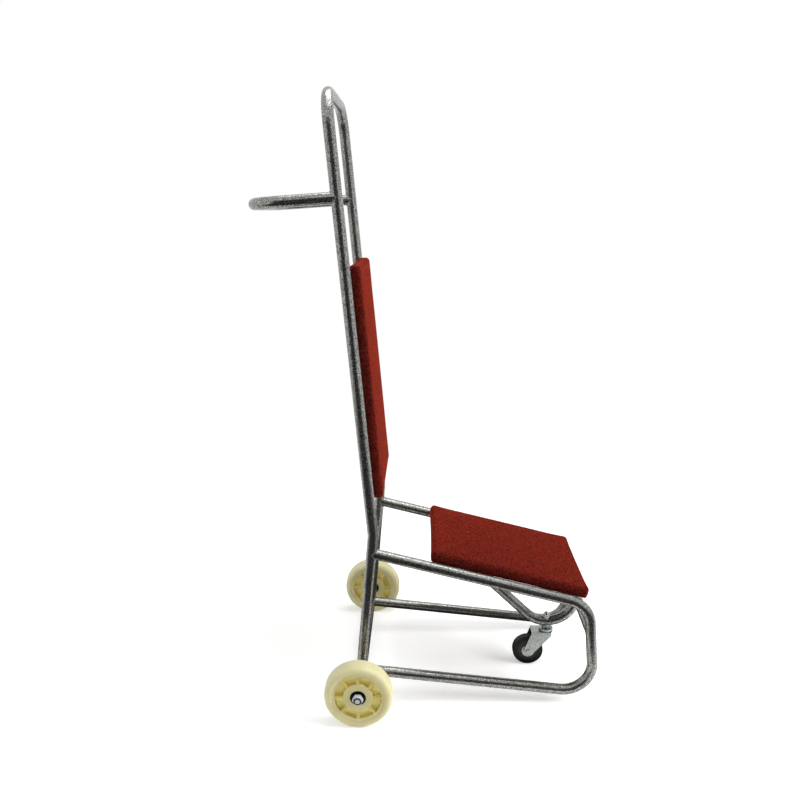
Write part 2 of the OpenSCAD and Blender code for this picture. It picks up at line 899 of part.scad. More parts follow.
module castor_wheel_core() {
    color(black) at_castor_axle() y_ring(-core_w / 2, core_w / 2, core_r, castor_bush_r + run_gap);
}

module castor_tyre() {
    color(black) at_castor_axle() rotate([90, 0, 0])
        rotate_extrude() rim_section(core_r, castor_d / 2, castor_w, castor_w, tyre_shoulder_r);
}

module castor_hub_discs() {
    color(zinc) at_castor_axle() both_sides()
        y_ring(core_w / 2, core_w / 2 + hub_disc_t, hub_disc_r, castor_bush_r + fit_gap);
}

back_frame_tube();
handle_tube();
left_side_loop();
right_side_loop();
axle_cross_tube();
front_crossbar();
rear_crossbar();
castor_support_tube();
castor_socket();
back_straps();
seat_straps();
back_board();
seat_board();
back_pad();
seat_pad();
back_tee_nuts();
seat_tee_nuts();
back_bolts();
seat_bolts();
axle_rod();
axle_end_bushes();
axle_washers();
axle_lock_nuts();
left_hub_sleeve();
right_hub_sleeve();
left_bearing_inner_rings();
right_bearing_inner_rings();
left_wheel();
right_wheel();
left_bearing_outer_rings();
right_bearing_outer_rings();
left_bearing_seals();
right_bearing_seals();
left_bearing_balls();
right_bearing_balls();
castor_stem();
castor_washer();
castor_dome_nut();
castor_top_race();
castor_swivel_balls();
castor_fork();
castor_axle_rivet();
castor_bush();
castor_wheel_core();
castor_tyre();
castor_hub_discs();
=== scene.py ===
# %% [markdown]
# # A trolley for stacked chairs
# The trolley is a welded frame of bent tube, painted a mottled grey, with a red padded rest behind the
# chairs and another one under them. It rolls on two cream nylon wheels and steers on one small castor.
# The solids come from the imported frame, and this lesson gives them their finishes, then adds the two
# things that solids hold badly: upholstered pads and weld beads.

import json
import math

import bmesh
import bpy
import numpy as np
from mathutils import Matrix, Vector


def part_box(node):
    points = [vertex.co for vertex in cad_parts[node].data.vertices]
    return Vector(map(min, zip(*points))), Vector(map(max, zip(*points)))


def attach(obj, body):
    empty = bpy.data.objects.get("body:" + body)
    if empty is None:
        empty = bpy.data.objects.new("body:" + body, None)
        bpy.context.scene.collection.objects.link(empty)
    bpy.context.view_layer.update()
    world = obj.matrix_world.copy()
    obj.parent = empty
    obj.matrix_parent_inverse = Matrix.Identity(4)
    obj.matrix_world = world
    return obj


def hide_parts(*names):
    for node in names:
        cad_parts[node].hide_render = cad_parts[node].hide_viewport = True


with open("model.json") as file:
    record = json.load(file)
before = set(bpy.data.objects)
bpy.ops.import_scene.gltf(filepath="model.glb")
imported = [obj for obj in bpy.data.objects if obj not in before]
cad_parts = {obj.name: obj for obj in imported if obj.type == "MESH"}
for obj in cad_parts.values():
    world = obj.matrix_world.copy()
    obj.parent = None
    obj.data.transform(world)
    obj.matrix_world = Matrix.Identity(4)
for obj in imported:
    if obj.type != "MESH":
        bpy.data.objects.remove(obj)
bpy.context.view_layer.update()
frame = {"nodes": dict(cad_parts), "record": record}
nodes = frame["nodes"]
MM = 0.001

# %% [markdown]
# ## Where the tubes run
# Welds and pads have to sit exactly on the tubes, so their places come from the frame: the axle tube's
# box gives the axle and the tube's radius. Only the angles and heights at which the tubes
# meet are written here, as a maker's drawing would give them.

# %% Places and directions of the tubes
axle_low, axle_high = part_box("axle_cross_tube")
axle = (axle_low + axle_high) / 2
tube_r = (axle_high.z - axle_low.z) / 2
half_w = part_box("back_frame_tube")[1].y - tube_r
front_bar = sum(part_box("front_crossbar"), Vector()) / 2
rear_low, rear_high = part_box("rear_crossbar")
rear_bar = (rear_low + rear_high) / 2
rear_bar_r = (rear_high.z - rear_low.z) / 2


def tilted(degrees_from_level, forward=1):
    """Direction in the side view, rising from level; forward is +1 to the front and -1 to the rear."""
    a = math.radians(degrees_from_level)
    return Vector((forward * math.cos(a), 0, math.sin(a)))


back_lean, seat_slope = 5.2, 13.7
leg_dir = tilted(85)
upright_dir = tilted(90 - back_lean, -1)
upright_face = tilted(back_lean)
handle_dir = tilted(-4, -1)
rail_dir = tilted(-seat_slope)
rail_face = tilted(90 - seat_slope)
low_rail_dir = tilted(-5.4)
post_dir = tilted(84.4, -1)
rear_arm_dir = tilted(-43.6)
front_arm_dir = tilted(-68.9, -1)
sideways = Vector((0, 1, 0))

kink_z, rail_z, handle_z = 0.410, 0.368, 1.131
rail_root = axle + leg_dir * ((rail_z - axle.z) / leg_dir.z)
kink = axle + leg_dir * ((kink_z - axle.z) / leg_dir.z)
handle_root = kink + upright_dir * ((handle_z - kink_z) / upright_dir.z)
print("axle", [round(v, 4) for v in axle], "tube radius", round(tube_r, 4), "half width", round(half_w, 4))

# %% [markdown]
# ## Camera
# The photograph looks along +Y from head height, a little down and a touch to the left. The place and
# angles come from fitting a pinhole camera to the tubes' edges; the lens is the fitted focal length on a
# 36 mm sensor.

# %% Camera
camera_place = Vector((-0.0244, -1.6687, 1.1064))
camera_down, camera_left = math.radians(14.31), math.radians(1.71)
camera = bpy.data.objects.new("camera", bpy.data.cameras.new("camera"))
camera.data.lens, camera.data.sensor_width = 33.43, 36
camera.location = camera_place
camera.rotation_euler = (math.radians(90) - camera_down, 0, camera_left)
bpy.context.scene.collection.objects.link(camera)
bpy.context.scene.camera = camera
print("camera at", [round(v, 3) for v in camera_place], "lens", camera.data.lens)

# %% [markdown]
# ## Nodes and colours
# Every finish below is a small tree of shader nodes. One function adds a node, sets it and links it, and
# one turns an sRGB hex value into the linear numbers that Blender wants. The others are short names for
# the nodes that nearly every finish has: noise, a spread of values, a blend of two colours, a bump.


# %% Helpers for finishes
def linear(hex_colour):
    """Linear RGBA of an sRGB hex colour such as #7A1F18."""
    parts = [int(hex_colour[i:i + 2], 16) / 255 for i in (1, 3, 5)]
    return [c / 12.92 if c <= 0.04045 else ((c + 0.055) / 1.055) ** 2.4 for c in parts] + [1]


def add(tree, kind, inputs=None, **settings):
    """Adds one node. An input is given a value, or is linked where it is given another node's socket."""
    node = tree.nodes.new(kind)
    for name, value in settings.items():
        setattr(node, name, value)
    for name, value in (inputs or {}).items():
        if isinstance(value, bpy.types.NodeSocket):
            tree.links.new(value, node.inputs[name])
        else:
            node.inputs[name].default_value = value
    return node


# %% Short names for common nodes
MIX_A, MIX_B, MIX_OUT = 6, 7, 2     # a Mix node's colour sockets


def own_place(tree):
    """Place of the shaded point in the trolley's frame."""
    return add(tree, "ShaderNodeTexCoord").outputs["Object"]


def sums(tree, operation, *numbers):
    return add(tree, "ShaderNodeMath", dict(enumerate(numbers)), operation=operation).outputs[0]


def noise(tree, place, size, **more):
    """Noise from 0 to 1, with lumps about as wide as size."""
    return add(tree, "ShaderNodeTexNoise", {"Vector": place, "Scale": 1 / size, **more}).outputs["Fac"]


def spread(tree, value, low, high, start=0.0, end=1.0, **settings):
    """Maps a value that runs from start to end onto low to high."""
    return add(tree, "ShaderNodeMapRange", {"Value": value, "From Min": start, "From Max": end,
                                            "To Min": low, "To Max": high}, **settings).outputs[0]


def blend(tree, share, first, second, **settings):
    """A colour between two others, each a hex value, numbers or a socket."""
    first, second = (linear(c) if isinstance(c, str) else c for c in (first, second))
    return add(tree, "ShaderNodeMix", {0: share, MIX_A: first, MIX_B: second},
               data_type="RGBA", **settings).outputs[MIX_OUT]


def bump(tree, height, strength, distance):
    return add(tree, "ShaderNodeBump",
               {"Height": height, "Strength": strength, "Distance": distance}).outputs[0]


# %% Start and end of a material
def empty_material(name):
    material = bpy.data.materials.new(name)
    material.use_nodes = True
    material.node_tree.nodes.clear()
    return material


def finished(material, colour, rough, normal, more=None):
    """Ends a material's tree with one shader of this colour, roughness and relief."""
    tree = material.node_tree
    shader = add(tree, "ShaderNodeBsdfPrincipled",
                 {"Base Color": colour, "Roughness": rough, "Normal": normal, **(more or {})})
    add(tree, "ShaderNodeOutputMaterial", {"Surface": shader.outputs[0]})
    print("material", material.name)
    return material


# %% [markdown]
# ## Studio
# The trolley stands on a pale floor in a white studio. The world is plain white to the camera and to
# reflections, and a softer grey as fill light, so that the background stays white without more light
# falling on the trolley. Large lamps over the trolley and to its front model the pads. A dark card, folded
# from the floor up behind the camera and seen by reflections only, is a painted reflection that draws the
# dark bands along each tube. A second one lies under the trolley and keeps its lower tubes dark: painted
# shade, standing in for the shade under the trolley in their reflections.

# %% World and floor
scene = bpy.context.scene
scene.view_settings.view_transform = "Standard"
world = bpy.data.worlds.new("white_studio")
scene.world = world
world.use_nodes = True
tree = world.node_tree
tree.nodes.clear()


def seen_directly(tree):
    """1 for camera, mirror and see-through rays, 0 for the rays that light the trolley."""
    rays = add(tree, "ShaderNodeLightPath").outputs
    mirror = sums(tree, "MAXIMUM", rays["Is Camera Ray"], rays["Is Glossy Ray"])
    return sums(tree, "MAXIMUM", mirror, rays["Is Transmission Ray"])


fill_grey, white = (0.30, 0.30, 0.31, 1), (1, 1, 1, 1)
sky = blend(tree, seen_directly(tree), fill_grey, white)
background = add(tree, "ShaderNodeBackground", {"Color": sky, "Strength": 1.0})
add(tree, "ShaderNodeOutputWorld", {"Surface": background.outputs[0]})

floor_half = 9.0
floor_mesh = bpy.data.meshes.new("studio_floor")
floor_mesh.from_pydata([(x * floor_half, y * floor_half, 0) for x, y in ((-1, -1), (1, -1), (1, 1), (-1, 1))],
                       [], [(0, 1, 2, 3)])
floor = bpy.data.objects.new("studio_floor", floor_mesh)
scene.collection.objects.link(floor)

# %% Paint of the floor, which turns plain white away from the trolley
shadow_reach, white_reach, floor_glow, blotch = 0.45, 1.7, 0.36, 1 / 6
painted_floor = empty_material("matt white studio floor")
tree = painted_floor.node_tree
place = own_place(tree)
reach = add(tree, "ShaderNodeVectorMath", {0: place}, operation="LENGTH").outputs["Value"]
away = spread(tree, reach, 0, 1, shadow_reach, white_reach, interpolation_type="SMOOTHSTEP")
paint = blend(tree, noise(tree, place, blotch, Detail=4.0), "#F4F4F2", "#FAFAF9")
matt = add(tree, "ShaderNodeBsdfDiffuse", {"Color": paint})
glow = add(tree, "ShaderNodeEmission", {"Color": white, "Strength": floor_glow})
lit = add(tree, "ShaderNodeAddShader", {0: matt.outputs[0], 1: glow.outputs[0]})
plain = add(tree, "ShaderNodeEmission", {"Color": white, "Strength": 1.0})
fade = add(tree, "ShaderNodeMixShader", {0: away, 1: lit.outputs[0], 2: plain.outputs[0]})
shown = add(tree, "ShaderNodeMixShader", {0: seen_directly(tree), 1: matt.outputs[0], 2: fade.outputs[0]})
add(tree, "ShaderNodeOutputMaterial", {"Surface": shown.outputs[0]})
floor.data.materials.append(painted_floor)

# %% Lamps and dark cards
lamps = {      # place, aim, side, watts, and whether its mirror image shows
    "softbox_over": ((0.3, 0.2, 2.9), (0.0, 0.0, 0.5), 1.8, 36, True),
    "softbox_front": ((2.4, -0.5, 1.4), (0.0, 0.0, 0.6), 1.4, 66, False),
    "softbox_rear": ((-2.2, -0.7, 1.5), (-0.1, 0.0, 0.5), 1.2, 16, False),
}
for name, (place, aim, side, watts, mirrored) in lamps.items():
    light = bpy.data.lights.new(name, "AREA")
    light.size, light.energy = side, watts
    holder = bpy.data.objects.new(name, light)
    holder.location = place
    holder.rotation_euler = (Vector(aim) - holder.location).to_track_quat("-Z", "Y").to_euler()
    holder.visible_glossy = mirrored
    scene.collection.objects.link(holder)
print("lamps", sorted(lamps))

# Painted reflection: near-black cards that only reflections see; the one behind the camera draws the tubes'
# dark bands, the one under the trolley stands in for the shade there.
card_low, card_half, card_back, card_front, card_top = 0.002, 2.0, -2.6, -0.32, 2.2
under_half, under_front, under_back = 0.42, -0.04, 0.60
card_line = ((card_front, card_low), (card_back, card_low), (card_back, card_top))
under_line = ((under_front, card_low), (under_back, card_low))
card_mesh = bpy.data.meshes.new("painted_reflection_cards")
card_mesh.from_pydata([(x * card_half, y, z) for y, z in card_line for x in (-1, 1)]
                      + [(x * under_half, y, z) for y, z in under_line for x in (-1, 1)],
                      [], [(0, 1, 3, 2), (2, 3, 5, 4), (6, 7, 9, 8)])
card = bpy.data.objects.new("painted_reflection_cards", card_mesh)
scene.collection.objects.link(card)
card.visible_camera = card.visible_diffuse = card.visible_shadow = False
card_blotch_mm = 25.0
# The cards' near-black colour is painted shade, seen only in the tubes' reflections.
painted_reflection_black = empty_material("painted reflection card")
tree = painted_reflection_black.node_tree
card_black = blend(tree, noise(tree, own_place(tree), card_blotch_mm * MM), "#0A0A0A", "#161616")
dull = add(tree, "ShaderNodeBsdfDiffuse", {"Color": card_black})
add(tree, "ShaderNodeOutputMaterial", {"Surface": dull.outputs[0]})
card.data.materials.append(painted_reflection_black)

# %% [markdown]
# ## Silver-vein powder coat
# The frame's paint is a powder coat with metal flake: while it bakes, the flake gathers into fine light
# veins round darker pits. The eye gets a grey that glitters a little, bright where it
# turns to the light and nearly black where it faces the dark card. Real veins are about a millimetre
# apart; here they are drawn more than twice as coarse so that they show in the picture.

# %% Powder coat of the frame
vein_mm, cloud_mm = 2.5, 14.0
powder_coat = empty_material("silver-vein powder coat")
tree = powder_coat.node_tree
place = own_place(tree)
veins = noise(tree, place, vein_mm * MM, Detail=3.0, Roughness=0.65)
cloud = noise(tree, place, cloud_mm * MM, Detail=2.0)
fleck = spread(tree, veins, 0, 1, 0.32, 0.68, interpolation_type="SMOOTHSTEP")
paint = blend(tree, fleck, "#40403E", "#B6B6B2")
tone = blend(tree, 1.0, paint, spread(tree, cloud, 0.88, 1.06, 0.3, 0.7), blend_type="MULTIPLY")
rough = spread(tree, veins, 0.34, 0.20, 0.3, 0.7)
pits = bump(tree, veins, 0.35, 0.5 * MM)
finished(powder_coat, tone, rough, pits, {"Metallic": 0.9})

# %% [markdown]
# ## Zinc plate
# Nuts, bolts and the castor's pressings are steel with a thin zinc plate. It is paler and bluer than
# steel, a little cloudy, with faint crystal patches. The castor's plate is older and greyer, and its
# dome nut is still bright; the other nuts and bolts have a whiter plate that scatters more light. The
# axle's ends and their lock nuts are painted near black round the thread: painted shade, standing in for
# the shade down in the thread. A point's distance from the axle's line tells where that is.

# %% Zinc plate
haze_mm = 1.5


def from_axle_line(tree, place):
    """Distance of a place from the axle's line."""
    offset = add(tree, "ShaderNodeVectorMath", {0: place, 1: (axle.x, 0, axle.z)}, operation="SUBTRACT")
    flat = add(tree, "ShaderNodeVectorMath", {0: offset.outputs[0], 1: (1, 0, 1)}, operation="MULTIPLY")
    return add(tree, "ShaderNodeVectorMath", {0: flat.outputs[0]}, operation="LENGTH").outputs["Value"]


def zinc(name, dull, pale, patch_mm, rough_low, rough_high, metal=1.0, thread_shade=None):
    material = empty_material(name)
    tree = material.node_tree
    place = own_place(tree)
    patches = add(tree, "ShaderNodeTexVoronoi", {"Vector": place, "Scale": 1 / (patch_mm * MM)})
    crystal = add(tree, "ShaderNodeSeparateColor", {0: patches.outputs["Color"]}).outputs[0]
    plate = blend(tree, crystal, dull, pale)
    # Painted shade: a near-black band round the axle's line, over the rod's thread and the nuts' bores,
    # stands in for the shade in the thread.
    if thread_shade:
        middle, half = sum(thread_shade) / 2, (thread_shade[1] - thread_shade[0]) / 2
        ring = sums(tree, "COMPARE", from_axle_line(tree, place), middle, half)
        plate = blend(tree, ring, plate, "#121214")
        metal = spread(tree, ring, metal, 0)
    haze = noise(tree, place, haze_mm * MM, Detail=4.0)
    rough = spread(tree, haze, rough_low, rough_high, 0.3, 0.7)
    return finished(material, plate, rough, bump(tree, haze, 0.08, 0.2 * MM), {"Metallic": metal})


castor_zinc = zinc("grey zinc plate", "#8F9592", "#B6BBB8", 2.5, 0.22, 0.40)
bright_zinc = zinc("bright zinc plate", "#C8CCCC", "#E0E4E4", 2.0, 0.10, 0.20)
bolt_zinc = zinc("white zinc plate", "#E2E6E6", "#F4F7F7", 2.0, 0.40, 0.55)
# The lock nuts and the axle's ends carry the painted thread shade.
nut_zinc = zinc("chalky zinc plate, painted shade round the thread", "#E2E6E6", "#F4F7F7", 2.0, 0.40, 0.55,
                metal=0.4, thread_shade=(5.5 * MM, 9.0 * MM))

# %% [markdown]
# ## Machined steel
# The bearing rings and bushes are turned steel: fine rings from the tool round their axis, and a
# trace of oil. The outer rings and the axle's washers are coloured near black, so each wheel's
# bearing shows as a dark ring round the pale nut.

# %% Machined steel
ring_mm, oil_mm = 0.8, 4.0


def turned(name, dull, pale, rough_low, rough_high):
    material = empty_material(name)
    tree = material.node_tree
    place = own_place(tree)
    turns = sums(tree, "MULTIPLY", from_axle_line(tree, place), 2 * math.pi / (ring_mm * MM))
    tool = sums(tree, "SINE", turns)
    oil = noise(tree, place, oil_mm * MM, Detail=3.0)
    steel = blend(tree, oil, dull, pale)
    rough = spread(tree, oil, rough_low, rough_high)
    return finished(material, steel, rough, bump(tree, tool, 0.12, 0.1 * MM), {"Metallic": 1.0})


turned_steel = turned("turned steel", "#9A9C9F", "#C6C8CA", 0.22, 0.38)
black_steel = turned("near-black turned steel", "#161618", "#262629", 0.45, 0.60)

# %% [markdown]
# ## Cream nylon
# The rear wheels are moulded from natural nylon, which is cream and slightly waxy: light goes a few
# millimetres in. Light coming back out of it is painted into the colour: the pockets between the ribs are
# painted a stronger, paler yellow, the ribs a little ochre, and the face yellower towards the pockets.
# So the finish measures each point's radius from the axle and its depth below the hub's face. The
# tread carries a little grey dirt.

# %% Nylon of the rear wheels
wheel_low, wheel_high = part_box("left_wheel")
wheel_y = (wheel_low.y + wheel_high.y) / 2
wheel_r = (wheel_high.z - wheel_low.z) / 2
hub_face, pocket_depth, pocket_in, pocket_out, edge = 17 * MM, 9 * MM, 33 * MM, 52 * MM, 0.5 * MM
rim_round, tread_depth = 6 * MM, 3 * MM
bloom_mm, scuff_mm, wax_mm = 25, 5, 7
nylon = empty_material("natural cream nylon")
tree = nylon.node_tree
place = own_place(tree)
radius = from_axle_line(tree, place)
side = add(tree, "ShaderNodeSeparateXYZ", {0: place}).outputs["Y"]
off_middle = sums(tree, "SUBTRACT", sums(tree, "ABSOLUTE", side), wheel_y)
off_middle = sums(tree, "ABSOLUTE", off_middle)
deep = spread(tree, off_middle, 0, 1, hub_face, hub_face - pocket_depth, interpolation_type="SMOOTHSTEP")
inside = spread(tree, radius, 0, 1, pocket_out + edge, pocket_out - edge)
outside = spread(tree, radius, 0, 1, pocket_in - edge, pocket_in + edge)
ring = sums(tree, "MULTIPLY", inside, outside)
pocket = sums(tree, "MULTIPLY", ring, deep)
bloom = noise(tree, place, bloom_mm * MM, Detail=3.0)
rim = spread(tree, radius, 0, 1, pocket_out, wheel_r - rim_round)
# Painted light: the face is painted yellower towards the pockets and paler towards the rim, standing in for
# light coming back out of the nylon.
cream = blend(tree, sums(tree, "MULTIPLY", bloom, rim), "#DAD19A", "#EAE7C4")
# Painted light: the ribs' zone a little ochre and the pockets a pale, strong yellow, standing in for light
# shining back out of the nylon there.
ribs = blend(tree, ring, cream, "#D2C27C")
painted_pocket_light = blend(tree, pocket, ribs, "#FFF29C")
scuff = noise(tree, place, scuff_mm * MM, Detail=5.0)
tread = spread(tree, radius, 0, 0.35, wheel_r - tread_depth, wheel_r)
skin = blend(tree, sums(tree, "MULTIPLY", tread, scuff), painted_pocket_light, "#B8B08C")
rough = spread(tree, scuff, 0.36, 0.58)
finished(nylon, skin, rough, bump(tree, scuff, 0.10, 0.2 * MM),
         {"IOR": 1.53, "Subsurface Weight": 0.7, "Subsurface Radius": (1.0, 0.85, 0.35),
          "Subsurface Scale": wax_mm * MM})
print("wheel radius", round(wheel_r, 4))

# %% [markdown]
# ## Black rubber and plastic
# The castor's tyre is moulded rubber, satin where it is clean and grey where it has rolled. Its core
# is a harder, slightly olive plastic, and the bearing seals are pressed rubber. They share one way of
# making: near-black, a dusty bloom, and fine grit in the surface.

# %% Black finishes
dust_mm = 12


def dusty_black(name, dark, dusty, grit_mm, rough_low, rough_high):
    material = empty_material(name)
    tree = material.node_tree
    place = own_place(tree)
    dust = noise(tree, place, dust_mm * MM, Detail=4.0)
    colour = blend(tree, spread(tree, dust, 0, 1, 0.4, 0.75), dark, dusty)
    rough = spread(tree, dust, rough_low, rough_high, 0.3, 0.7)
    grit = bump(tree, noise(tree, place, grit_mm * MM), 0.2, 0.2 * MM)
    return finished(material, colour, rough, grit, {"Specular IOR Level": 0.4})


tyre_rubber = dusty_black("moulded tyre rubber", "#070807", "#131412", 0.8, 0.5, 0.7)
core_plastic = dusty_black("moulded dark plastic", "#1C1B11", "#343220", 1.2, 0.35, 0.5)
seal_rubber = dusty_black("pressed seal rubber", "#0E0E0E", "#1C1C1B", 0.6, 0.35, 0.55)

# %% [markdown]
# ## Plywood
# The boards inside the pads are plain birch plywood, painted dark brown as painted shade: the tubes under
# the seat reflect the boards, and their dark colour stands in for the shade there. From behind, their faces
# show close, wavy grain.

# %% Plywood of the boards
grain_mm, along_grain = 5.0, 0.12
plywood = empty_material("birch plywood, painted dark")
tree = plywood.node_tree
stretch = add(tree, "ShaderNodeMapping",
              {"Vector": own_place(tree), "Scale": (along_grain, 1, along_grain)}).outputs[0]
grain = noise(tree, stretch, grain_mm * MM, Detail=5.0, Distortion=0.6)
# Painted shade: the birch is dark brown, so that its reflection in the tubes under the seat stands in for the
# shade there.
birch = blend(tree, grain, "#76593A", "#9C7D54")
finished(plywood, birch, spread(tree, grain, 0.55, 0.75), bump(tree, grain, 0.15, 0.3 * MM))

# %% [markdown]
# ## Brick-red upholstery
# The pads are covered in a wool-like weave. From a step away it is a brick red with finer dark and light
# specks, and it gets paler and pinker where it is seen at a low angle, because short fibres stand off
# the yarn and catch the light: that is what sheen does. Seen straight on, the eye looks down between the
# fibres, and the cloth is nearly maroon. The fibres clump into small tufts, each with its own tone and
# fuzz. Real tufts are about a millimetre wide; they are drawn at twice that so that they can show.

# %% Weave of the pads
yarn_mm, tuft_mm, speck_mm, shade_mm = 1.2, 2.0, 2.0, 45.0


def woven_red(name, turn):
    """The weave, its yarns running along a pad that is turned about the Y axis."""
    material = empty_material(name)
    tree = material.node_tree
    square = add(tree, "ShaderNodeMapping", {"Vector": own_place(tree), "Rotation": (0, turn, 0)}).outputs[0]
    yarns = add(tree, "ShaderNodeVectorMath", {0: square, "Scale": math.pi / (yarn_mm * MM)},
                operation="SCALE")
    waves = add(tree, "ShaderNodeVectorMath", {0: yarns.outputs[0]}, operation="SINE")
    waves = add(tree, "ShaderNodeVectorMath", {0: waves.outputs[0]}, operation="ABSOLUTE")
    x, y, z = add(tree, "ShaderNodeSeparateXYZ", {0: waves.outputs[0]}).outputs
    weave = sums(tree, "ADD", sums(tree, "MULTIPLY", x, y), sums(tree, "MULTIPLY", y, z))
    specks = noise(tree, square, speck_mm * MM, Detail=4.0, Roughness=0.7)
    tufts = add(tree, "ShaderNodeTexVoronoi", {"Vector": square, "Scale": 1 / (tuft_mm * MM)})
    tone = add(tree, "ShaderNodeSeparateColor", {0: tufts.outputs["Color"]}).outputs[0]
    tone = add(tree, "ShaderNodeMix", {0: 0.1, 2: spread(tree, tone, 0, 1, 0.2, 0.8), 3: specks}).outputs[0]
    yarn = blend(tree, tone, "#2C0A06", "#661E17")
    shade = noise(tree, square, shade_mm * MM, Detail=2.0)
    cloth = blend(tree, 1.0, yarn, spread(tree, shade, 0.95, 1.04, 0.3, 0.7), blend_type="MULTIPLY")
    relief = bump(tree, sums(tree, "ADD", weave, specks), 0.4, 0.5 * MM)
    return finished(material, cloth, 0.9, relief,
                    {"Specular IOR Level": 0.06, "Sheen Weight": spread(tree, tone, 0.25, 1.0),
                     "Sheen Roughness": 0.4, "Sheen Tint": linear("#E6441F")})


back_weave = woven_red("brick-red wool weave, back", math.radians(-back_lean))
seat_weave = woven_red("brick-red wool weave, seat", math.radians(seat_slope))

# %% [markdown]
# ## Dressing the solids
# Each solid keeps its shape and takes its finish by name. Turned and pressed pieces also get a hair of
# bevel, because no real edge is perfectly sharp and the bevel is what catches the light.

# %% Finishes and edges of the solids
finish_of = {
    "frame_paint": powder_coat, "plywood": plywood, "red_fabric": seat_weave,
    "zinc_hardware": bolt_zinc, "machined_steel": turned_steel, "castor_zinc": castor_zinc,
    "cream_nylon": nylon, "seal_rubber": seal_rubber, "castor_core_plastic": core_plastic,
    "castor_rubber": tyre_rubber,
}
finish_by_name = {"left_bearing_outer_rings": black_steel, "right_bearing_outer_rings": black_steel,
                  "axle_washers": black_steel, "axle_lock_nuts": nut_zinc, "axle_rod": nut_zinc,
                  "castor_dome_nut": bright_zinc, "castor_washer": bolt_zinc}
sharp = math.radians(40)
edge_mm = {"plywood": 0.6, "zinc_hardware": 0.4, "machined_steel": 0.3, "cream_nylon": 0.8,
           "castor_zinc": 0.5, "castor_core_plastic": 0.5}
slot_of = {part["node"]: part["material_slot"] for part in frame["record"]["subparts"]}
for name, node in nodes.items():
    node.data.materials.clear()
    node.data.materials.append(finish_by_name.get(name, finish_of[slot_of[name]]))
    width = edge_mm.get(slot_of[name], 0)
    if width and "balls" not in name:
        bevel = node.modifiers.new("edge", "BEVEL")
        bevel.width, bevel.segments, bevel.limit_method = width * MM, 2, "ANGLE"
        bevel.angle_limit = sharp
print("dressed", len(nodes), "nodes")

# %% [markdown]
# ## Weld beads
# Where one tube is coped onto another, the welder runs a bead along the saddle-shaped joint. The joint's
# line can be worked out: go round the joining tube, and slide each point along that tube until
# it lies on the surface of the other. A small round section swept along the line, swelling and
# shrinking like overlapping drops, gives the bead its rippled look. It is thick where the two
# surfaces make a corner that holds metal, and thin where they run into each other.

# %% Weld beads along the coped joints
bead_r, drops = 2.0 * MM, 26
bead_least, bead_swell, bead_thin, bead_high, bead_wide = 0.82, 0.30, 0.4, 0.75, 1.15
around, section = 156, 8


def saddle(root, main_dir, join_dir, main_r, join_r, gap, least):
    """Points where the joining tube meets the main tube, and both tubes' outward normals there. gap is
    the offset of the main tube's centre line from root, and least is how far from root the joining tube
    starts."""
    u = join_dir.cross(main_dir).normalized()
    v = join_dir.cross(u).normalized()
    d = join_dir - join_dir.dot(main_dir) * main_dir
    rows = []
    for i in range(around):
        t = 2 * math.pi * i / around
        out = math.cos(t) * u + math.sin(t) * v
        e = join_r * out - gap
        e -= e.dot(main_dir) * main_dir
        inside = e.dot(d) ** 2 - d.length_squared * (e.length_squared - main_r ** 2)
        s = max((math.sqrt(max(inside, 0)) - e.dot(d)) / d.length_squared, least)
        point = root + join_r * out + s * join_dir
        rows.append((point, out, (e + s * d).normalized()))
    return rows


def weld_bead(name, root, main_dir, join_dir, main_r=tube_r, join_r=tube_r, gap=Vector(), least=0):
    line = saddle(root, main_dir, join_dir, main_r, join_r, gap, least)
    points, faces = [], []
    for i, (point, out, main_out) in enumerate(line):
        along = (line[(i + 1) % around][0] - line[i - 1][0]).normalized()
        up = (out + main_out).normalized()
        across = along.cross(up).normalized()
        drop = abs(math.sin(math.pi * drops * i / around))
        corner = min(1, 1 - out.dot(main_out))
        r = bead_r * (bead_least + bead_swell * drop) * (bead_thin + (1 - bead_thin) * corner)
        for k in range(section):
            a = 2 * math.pi * k / section
            points.append(point + r * (math.cos(a) * up * bead_high + math.sin(a) * across * bead_wide))
            j = (i + 1) % around
            faces.append((i * section + k, i * section + (k + 1) % section,
                          j * section + (k + 1) % section, j * section + k))
    mesh = bpy.data.meshes.new(name)
    mesh.from_pydata(points, [], faces)
    mesh.shade_smooth()
    bead = bpy.data.objects.new(name, mesh)
    scene.collection.objects.link(bead)
    bead.data.materials.append(powder_coat)
    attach(bead, "frame")
    return bead


rear_bar_gap = (rail_root - rear_bar).dot(rail_face) * rail_face
rear_bar_end = half_w - rear_high.y
for word, sign in (("left", 1), ("right", -1)):
    out = sign * half_w * sideways
    weld_bead(f"weld_handle_{word}", handle_root + out, upright_dir, handle_dir)
    weld_bead(f"weld_rail_{word}", rail_root + out, leg_dir, rail_dir)
    weld_bead(f"weld_low_rail_{word}", axle + out, sideways, low_rail_dir)
    weld_bead(f"weld_leg_{word}", axle + out, sideways, leg_dir)
    weld_bead(f"weld_front_bar_{word}", front_bar + out, post_dir, -sign * sideways)
    weld_bead(f"weld_rear_bar_{word}", rear_bar + out, rail_dir, -sign * sideways,
              join_r=rear_bar_r, gap=rear_bar_gap, least=rear_bar_end)
weld_bead("weld_support_rear", rear_bar, sideways, rear_arm_dir, main_r=rear_bar_r)
weld_bead("weld_support_front", front_bar, sideways, front_arm_dir)

# %% [markdown]
# ## Padded rests
# Each rest is a slab of foam on a plywood board, with the weave pulled over it and fastened underneath.
# The pull draws the long sides in a little between the corners, the foam pushes the face out to a
# low crown, and the edges stay round. So the pad starts as a block of even squares with rounded edges, a
# tray below for its board and drawn-in sides. Then a cloth simulation blows the skin up with its
# underside held, as the staples hold it, and the swelling is scaled to the few millimetres that
# firm foam allows.

